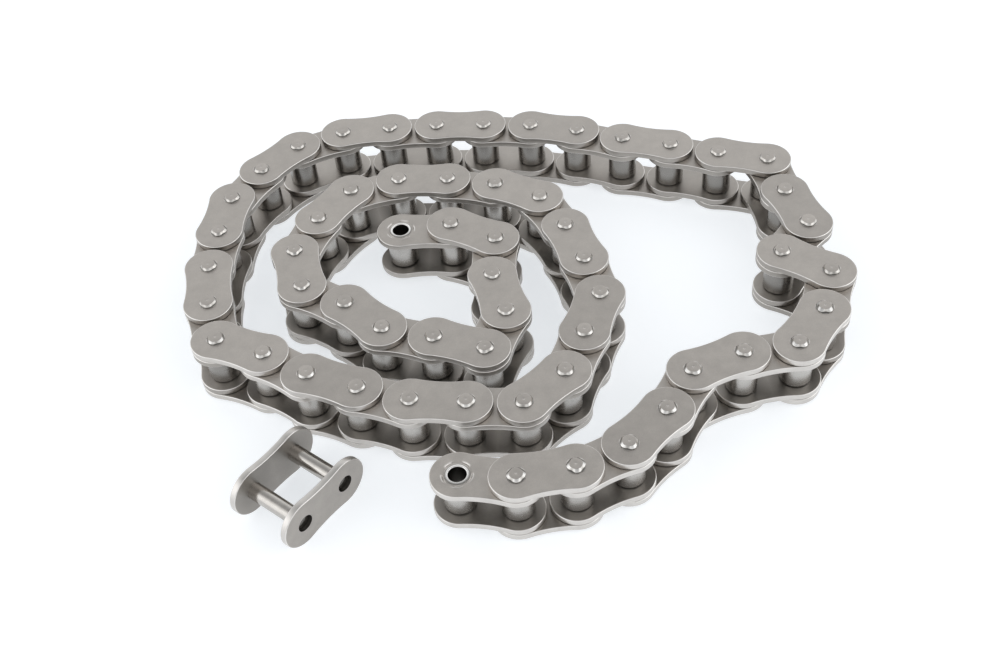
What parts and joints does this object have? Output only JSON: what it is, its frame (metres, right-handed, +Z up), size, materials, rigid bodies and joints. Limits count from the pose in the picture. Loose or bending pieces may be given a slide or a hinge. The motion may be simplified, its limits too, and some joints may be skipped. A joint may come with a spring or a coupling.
{
  "type": "roller chain",
  "caption": "Steel roller chain coiled on its side: waisted plates on riveted pins, bushes and rollers, open bush ends, and a loose connecting link with a slip-on cover plate.",
  "frame": {"origin": "the middle of the chain's outline on the floor that it lies on", "axes": "+X to the right along the longest side of the coil, +Y away from the viewer, +Z up along the pins"},
  "size_m": [0.321, 0.2658, 0.0326],
  "materials": {
    "roller_link_steel": "satin warm grey steel",
    "pin_link_steel": "satin warm grey steel",
    "loose_link_steel": "satin grey steel"
  },
  "bodies": {
    "roller_link_01": {"roller_link_01": "roller_link_steel"},
    "pin_link_01": {"pin_link_01": "pin_link_steel"},
    "roller_link_02": {"roller_link_02": "roller_link_steel"},
    "pin_link_02": {"pin_link_02": "pin_link_steel"},
    "roller_link_03": {"roller_link_03": "roller_link_steel"},
    "pin_link_03": {"pin_link_03": "pin_link_steel"},
    "roller_link_04": {"roller_link_04": "roller_link_steel"},
    "pin_link_04": {"pin_link_04": "pin_link_steel"},
    "roller_link_05": {"roller_link_05": "roller_link_steel"},
    "pin_link_05": {"pin_link_05": "pin_link_steel"},
    "roller_link_06": {"roller_link_06": "roller_link_steel"},
    "pin_link_06": {"pin_link_06": "pin_link_steel"},
    "roller_link_07": {"roller_link_07": "roller_link_steel"},
    "pin_link_07": {"pin_link_07": "pin_link_steel"},
    "roller_link_08": {"roller_link_08": "roller_link_steel"},
    "pin_link_08": {"pin_link_08": "pin_link_steel"},
    "roller_link_09": {"roller_link_09": "roller_link_steel"},
    "pin_link_09": {"pin_link_09": "pin_link_steel"},
    "roller_link_10": {"roller_link_10": "roller_link_steel"},
    "pin_link_10": {"pin_link_10": "pin_link_steel"},
    "roller_link_11": {"roller_link_11": "roller_link_steel"},
    "pin_link_11": {"pin_link_11": "pin_link_steel"},
    "roller_link_12": {"roller_link_12": "roller_link_steel"},
    "pin_link_12": {"pin_link_12": "pin_link_steel"},
    "roller_link_13": {"roller_link_13": "roller_link_steel"},
    "pin_link_13": {"pin_link_13": "pin_link_steel"},
    "roller_link_14": {"roller_link_14": "roller_link_steel"},
    "pin_link_14": {"pin_link_14": "pin_link_steel"},
    "roller_link_15": {"roller_link_15": "roller_link_steel"},
    "pin_link_15": {"pin_link_15": "pin_link_steel"},
    "roller_link_16": {"roller_link_16": "roller_link_steel"},
    "pin_link_16": {"pin_link_16": "pin_link_steel"},
    "roller_link_17": {"roller_link_17": "roller_link_steel"},
    "pin_link_17": {"pin_link_17": "pin_link_steel"},
    "roller_link_18": {"roller_link_18": "roller_link_steel"},
    "pin_link_18": {"pin_link_18": "pin_link_steel"},
    "roller_link_19": {"roller_link_19": "roller_link_steel"},
    "pin_link_19": {"pin_link_19": "pin_link_steel"},
    "roller_link_20": {"roller_link_20": "roller_link_steel"},
    "pin_link_20": {"pin_link_20": "pin_link_steel"},
    "roller_link_21": {"roller_link_21": "roller_link_steel"},
    "pin_link_21": {"pin_link_21": "pin_link_steel"},
    "roller_link_22": {"roller_link_22": "roller_link_steel"},
    "pin_link_22": {"pin_link_22": "pin_link_steel"},
    "roller_link_23": {"roller_link_23": "roller_link_steel"},
    "pin_link_23": {"pin_link_23": "pin_link_steel"},
    "roller_link_24": {"roller_link_24": "roller_link_steel"},
    "pin_link_24": {"pin_link_24": "pin_link_steel"},
    "roller_link_25": {"roller_link_25": "roller_link_steel"},
    "pin_link_25": {"pin_link_25": "pin_link_steel"},
    "roller_link_26": {"roller_link_26": "roller_link_steel"},
    "pin_link_26": {"pin_link_26": "pin_link_steel"},
    "roller_link_27": {"roller_link_27": "roller_link_steel"},
    "pin_link_27": {"pin_link_27": "pin_link_steel"},
    "roller_link_28": {"roller_link_28": "roller_link_steel"},
    "pin_link_28": {"pin_link_28": "pin_link_steel"},
    "roller_link_29": {"roller_link_29": "roller_link_steel"},
    "connecting_link": {"connecting_link": "loose_link_steel"},
    "cover_plate": {"cover_plate": "loose_link_steel"}
  },
  "joints": [
    {"name": "pin_joint_01", "type": "hinge", "parent": "pin_link_01", "child": "roller_link_01", "pos_m": [-0.00791, -0.12091, 0.0163], "axis": [0, 0, 1], "range_deg": [-24, 100]},
    {"name": "pin_joint_02", "type": "hinge", "parent": "roller_link_02", "child": "pin_link_01", "pos_m": [0.01739, -0.1187, 0.0163], "axis": [0, 0, -1], "range_deg": [-90, 12]},
    {"name": "pin_joint_03", "type": "hinge", "parent": "pin_link_02", "child": "roller_link_02", "pos_m": [0.04094, -0.10919, 0.0163], "axis": [0, 0, 1], "range_deg": [-3, 30]},
    {"name": "pin_joint_04", "type": "hinge", "parent": "roller_link_03", "child": "pin_link_02", "pos_m": [0.05982, -0.09219, 0.0163], "axis": [0, 0, -1], "range_deg": [-23, 3]},
    {"name": "pin_joint_05", "type": "hinge", "parent": "pin_link_03", "child": "roller_link_03", "pos_m": [0.07439, -0.07138, 0.0163], "axis": [0, 0, 1], "range_deg": [-3, 10]},
    {"name": "pin_joint_06", "type": "hinge", "parent": "roller_link_04", "child": "pin_link_03", "pos_m": [0.09855, -0.06353, 0.0163], "axis": [0, 0, -1], "range_deg": [-10, 3]},
    {"name": "pin_joint_07", "type": "hinge", "parent": "pin_link_04", "child": "roller_link_04", "pos_m": [0.12385, -0.06132, 0.0163], "axis": [0, 0, 1], "range_deg": [-3, 56]},
    {"name": "pin_joint_08", "type": "hinge", "parent": "roller_link_05", "child": "pin_link_04", "pos_m": [0.13983, -0.04158, 0.0163], "axis": [0, 0, -1], "range_deg": [-29, 3]},
    {"name": "pin_joint_09", "type": "hinge", "parent": "pin_link_05", "child": "roller_link_05", "pos_m": [0.14852, -0.01771, 0.0163], "axis": [0, 0, 1], "range_deg": [-3, 82]},
    {"name": "pin_joint_10", "type": "hinge", "parent": "roller_link_06", "child": "pin_link_05", "pos_m": [0.12851, -0.00207, 0.0163], "axis": [0, 0, -1], "range_deg": [-2, 3]},
    {"name": "pin_joint_11", "type": "hinge", "parent": "pin_link_06", "child": "roller_link_06", "pos_m": [0.1455, 0.0168, 0.0163], "axis": [0, 0, 1], "range_deg": [-3, 66]},
    {"name": "pin_joint_12", "type": "hinge", "parent": "roller_link_07", "child": "pin_link_06", "pos_m": [0.13936, 0.04145, 0.0163], "axis": [0, 0, -1], "range_deg": [-10, 3]},
    {"name": "pin_joint_13", "type": "hinge", "parent": "pin_link_07", "child": "roller_link_07", "pos_m": [0.13582, 0.0666, 0.0163], "axis": [0, 0, 1], "range_deg": [-3, 72]},
    {"name": "pin_joint_14", "type": "hinge", "parent": "roller_link_08", "child": "pin_link_07", "pos_m": [0.11195, 0.07529, 0.0163], "axis": [0, 0, -1], "range_deg": [-10, 3]},
    {"name": "pin_joint_15", "type": "hinge", "parent": "pin_link_08", "child": "roller_link_08", "pos_m": [0.08857, 0.08521, 0.0163], "axis": [0, 0, 1], "range_deg": [-3, 13]},
    {"name": "pin_joint_16", "type": "hinge", "parent": "roller_link_09", "child": "pin_link_08", "pos_m": [0.0647, 0.0939, 0.0163], "axis": [0, 0, -1], "range_deg": [-10, 3]},
    {"name": "pin_joint_17", "type": "hinge", "parent": "pin_link_09", "child": "roller_link_09", "pos_m": [0.0415, 0.10423, 0.0163], "axis": [0, 0, 1], "range_deg": [-3, 16]},
    {"name": "pin_joint_18", "type": "hinge", "parent": "roller_link_10", "child": "pin_link_09", "pos_m": [0.01734, 0.11208, 0.0163], "axis": [0, 0, -1], "range_deg": [-18, 3]},
    {"name": "pin_joint_19", "type": "hinge", "parent": "pin_link_10", "child": "roller_link_10", "pos_m": [-0.00767, 0.11649, 0.0163], "axis": [0, 0, 1], "range_deg": [-3, 13]},
    {"name": "pin_joint_20", "type": "hinge", "parent": "roller_link_11", "child": "pin_link_10", "pos_m": [-0.03288, 0.11958, 0.0163], "axis": [0, 0, -1], "range_deg": [-14, 3]},
    {"name": "pin_joint_21", "type": "hinge", "parent": "pin_link_11", "child": "roller_link_11", "pos_m": [-0.05825, 0.12091, 0.0163], "axis": [0, 0, 1], "range_deg": [-3, 14]},
    {"name": "pin_joint_22", "type": "hinge", "parent": "roller_link_12", "child": "pin_link_11", "pos_m": [-0.08364, 0.12047, 0.0163], "axis": [0, 0, -1], "range_deg": [-4, 4]},
    {"name": "pin_joint_23", "type": "hinge", "parent": "pin_link_12", "child": "roller_link_12", "pos_m": [-0.1078, 0.11262, 0.0163], "axis": [0, 0, 1], "range_deg": [-4, 4]},
    {"name": "pin_joint_24", "type": "hinge", "parent": "roller_link_13", "child": "pin_link_12", "pos_m": [-0.12638, 0.0953, 0.0163], "axis": [0, 0, -1], "range_deg": [-4, 4]},
    {"name": "pin_joint_25", "type": "hinge", "parent": "pin_link_13", "child": "roller_link_13", "pos_m": [-0.14058, 0.07424, 0.0163], "axis": [0, 0, 1], "range_deg": [-4, 4]},
    {"name": "pin_joint_26", "type": "hinge", "parent": "roller_link_14", "child": "pin_link_13", "pos_m": [-0.14543, 0.04931, 0.0163], "axis": [0, 0, -1], "range_deg": [-4, 4]},
    {"name": "pin_joint_27", "type": "hinge", "parent": "pin_link_14", "child": "roller_link_14", "pos_m": [-0.14852, 0.0241, 0.0163], "axis": [0, 0, 1], "range_deg": [-4, 4]},
    {"name": "pin_joint_28", "type": "hinge", "parent": "roller_link_15", "child": "pin_link_14", "pos_m": [-0.14675, -0.00124, 0.0163], "axis": [0, 0, -1], "range_deg": [-4, 4]},
    {"name": "pin_joint_29", "type": "hinge", "parent": "pin_link_15", "child": "roller_link_15", "pos_m": [-0.14104, -0.02599, 0.0163], "axis": [0, 0, 1], "range_deg": [-4, 4]},
    {"name": "pin_joint_30", "type": "hinge", "parent": "pin_link_15", "child": "roller_link_16", "pos_m": [-0.1184, -0.03752, 0.0163], "axis": [0, 0, 1], "range_deg": [-6, 6]},
    {"name": "pin_joint_31", "type": "hinge", "parent": "roller_link_16", "child": "pin_link_16", "pos_m": [-0.09785, -0.05245, 0.0163], "axis": [0, 0, -1], "range_deg": [-6, 6]},
    {"name": "pin_joint_32", "type": "hinge", "parent": "pin_link_16", "child": "roller_link_17", "pos_m": [-0.07503, -0.06359, 0.0163], "axis": [0, 0, 1], "range_deg": [-6, 6]},
    {"name": "pin_joint_33", "type": "hinge", "parent": "roller_link_17", "child": "pin_link_17", "pos_m": [-0.05164, -0.07351, 0.0163], "axis": [0, 0, -1], "range_deg": [-6, 6]},
    {"name": "pin_joint_34", "type": "hinge", "parent": "pin_link_17", "child": "roller_link_18", "pos_m": [-0.02663, -0.07792, 0.0163], "axis": [0, 0, 1], "range_deg": [-6, 6]},
    {"name": "pin_joint_35", "type": "hinge", "parent": "roller_link_18", "child": "pin_link_18", "pos_m": [-0.00142, -0.08102, 0.0163], "axis": [0, 0, -1], "range_deg": [-6, 6]},
    {"name": "pin_joint_36", "type": "hinge", "parent": "pin_link_18", "child": "roller_link_19", "pos_m": [0.01832, -0.06503, 0.0163], "axis": [0, 0, 1], "range_deg": [-6, 6]},
    {"name": "pin_joint_37", "type": "hinge", "parent": "roller_link_19", "child": "pin_link_19", "pos_m": [0.02945, -0.0422, 0.0163], "axis": [0, 0, -1], "range_deg": [-6, 6]},
    {"name": "pin_joint_38", "type": "hinge", "parent": "pin_link_19", "child": "roller_link_20", "pos_m": [0.03938, -0.01882, 0.0163], "axis": [0, 0, 1], "range_deg": [-6, 6]},
    {"name": "pin_joint_39", "type": "hinge", "parent": "roller_link_20", "child": "pin_link_20", "pos_m": [0.03453, 0.00611, 0.0163], "axis": [0, 0, -1], "range_deg": [-6, 6]},
    {"name": "pin_joint_40", "type": "hinge", "parent": "pin_link_20", "child": "roller_link_21", "pos_m": [0.02796, 0.03065, 0.0163], "axis": [0, 0, 1], "range_deg": [-6, 6]},
    {"name": "pin_joint_41", "type": "hinge", "parent": "roller_link_21", "child": "pin_link_21", "pos_m": [0.01722, 0.05367, 0.0163], "axis": [0, 0, -1], "range_deg": [-6, 6]},
    {"name": "pin_joint_42", "type": "hinge", "parent": "pin_link_21", "child": "roller_link_22", "pos_m": [-0.00455, 0.06675, 0.0163], "axis": [0, 0, 1], "range_deg": [-6, 6]},
    {"name": "pin_joint_43", "type": "hinge", "parent": "roller_link_22", "child": "pin_link_22", "pos_m": [-0.02884, 0.07418, 0.0163], "axis": [0, 0, -1], "range_deg": [-6, 6]},
    {"name": "pin_joint_44", "type": "hinge", "parent": "pin_link_22", "child": "roller_link_23", "pos_m": [-0.05405, 0.07727, 0.0163], "axis": [0, 0, 1], "range_deg": [-3, 3]},
    {"name": "pin_joint_45", "type": "hinge", "parent": "roller_link_23", "child": "pin_link_23", "pos_m": [-0.07889, 0.07199, 0.0163], "axis": [0, 0, -1], "range_deg": [-3, 3]},
    {"name": "pin_joint_46", "type": "hinge", "parent": "pin_link_23", "child": "roller_link_24", "pos_m": [-0.09522, 0.05253, 0.0163], "axis": [0, 0, 1], "range_deg": [-3, 3]},
    {"name": "pin_joint_47", "type": "hinge", "parent": "roller_link_24", "child": "pin_link_24", "pos_m": [-0.10636, 0.0297, 0.0163], "axis": [0, 0, -1], "range_deg": [-3, 3]},
    {"name": "pin_joint_48", "type": "hinge", "parent": "pin_link_24", "child": "roller_link_25", "pos_m": [-0.10194, 0.00469, 0.0163], "axis": [0, 0, 1], "range_deg": [-3, 3]},
    {"name": "pin_joint_49", "type": "hinge", "parent": "roller_link_25", "child": "pin_link_25", "pos_m": [-0.08089, -0.00951, 0.0163], "axis": [0, 0, -1], "range_deg": [-3, 3]},
    {"name": "pin_joint_50", "type": "hinge", "parent": "pin_link_25", "child": "roller_link_26", "pos_m": [-0.06356, -0.02809, 0.0163], "axis": [0, 0, 1], "range_deg": [-3, 3]},
    {"name": "pin_joint_51", "type": "hinge", "parent": "roller_link_26", "child": "pin_link_26", "pos_m": [-0.0397, -0.03678, 0.0163], "axis": [0, 0, -1], "range_deg": [-3, 3]},
    {"name": "pin_joint_52", "type": "hinge", "parent": "pin_link_26", "child": "roller_link_27", "pos_m": [-0.01649, -0.04711, 0.0163], "axis": [0, 0, 1], "range_deg": [-7, 7]},
    {"name": "pin_joint_53", "type": "hinge", "parent": "roller_link_27", "child": "pin_link_27", "pos_m": [-0.00536, -0.02428, 0.0163], "axis": [0, 0, -1], "range_deg": [-7, 7]},
    {"name": "pin_joint_54", "type": "hinge", "parent": "pin_link_27", "child": "roller_link_28", "pos_m": [-0.0102, 0.00065, 0.0163], "axis": [0, 0, 1], "range_deg": [-10, 10]},
    {"name": "pin_joint_55", "type": "hinge", "parent": "roller_link_28", "child": "pin_link_28", "pos_m": [-0.00711, 0.02586, 0.0163], "axis": [0, 0, -1], "range_deg": [-20, 10]},
    {"name": "pin_joint_56", "type": "hinge", "parent": "pin_link_28", "child": "roller_link_29", "pos_m": [-0.02865, 0.03932, 0.0163], "axis": [0, 0, 1], "range_deg": [-20, 40]},
    {"name": "connecting_link_lift", "type": "slide", "parent": "pin_link_15", "child": "connecting_link", "axis": [0, 0, 1], "range_m": [0, 0.06]},
    {"name": "cover_plate_draw", "type": "slide", "parent": "connecting_link", "child": "cover_plate", "axis": [0.7547, -0.6561, 0], "range_m": [-0.0039, 0.015]}
  ]
}
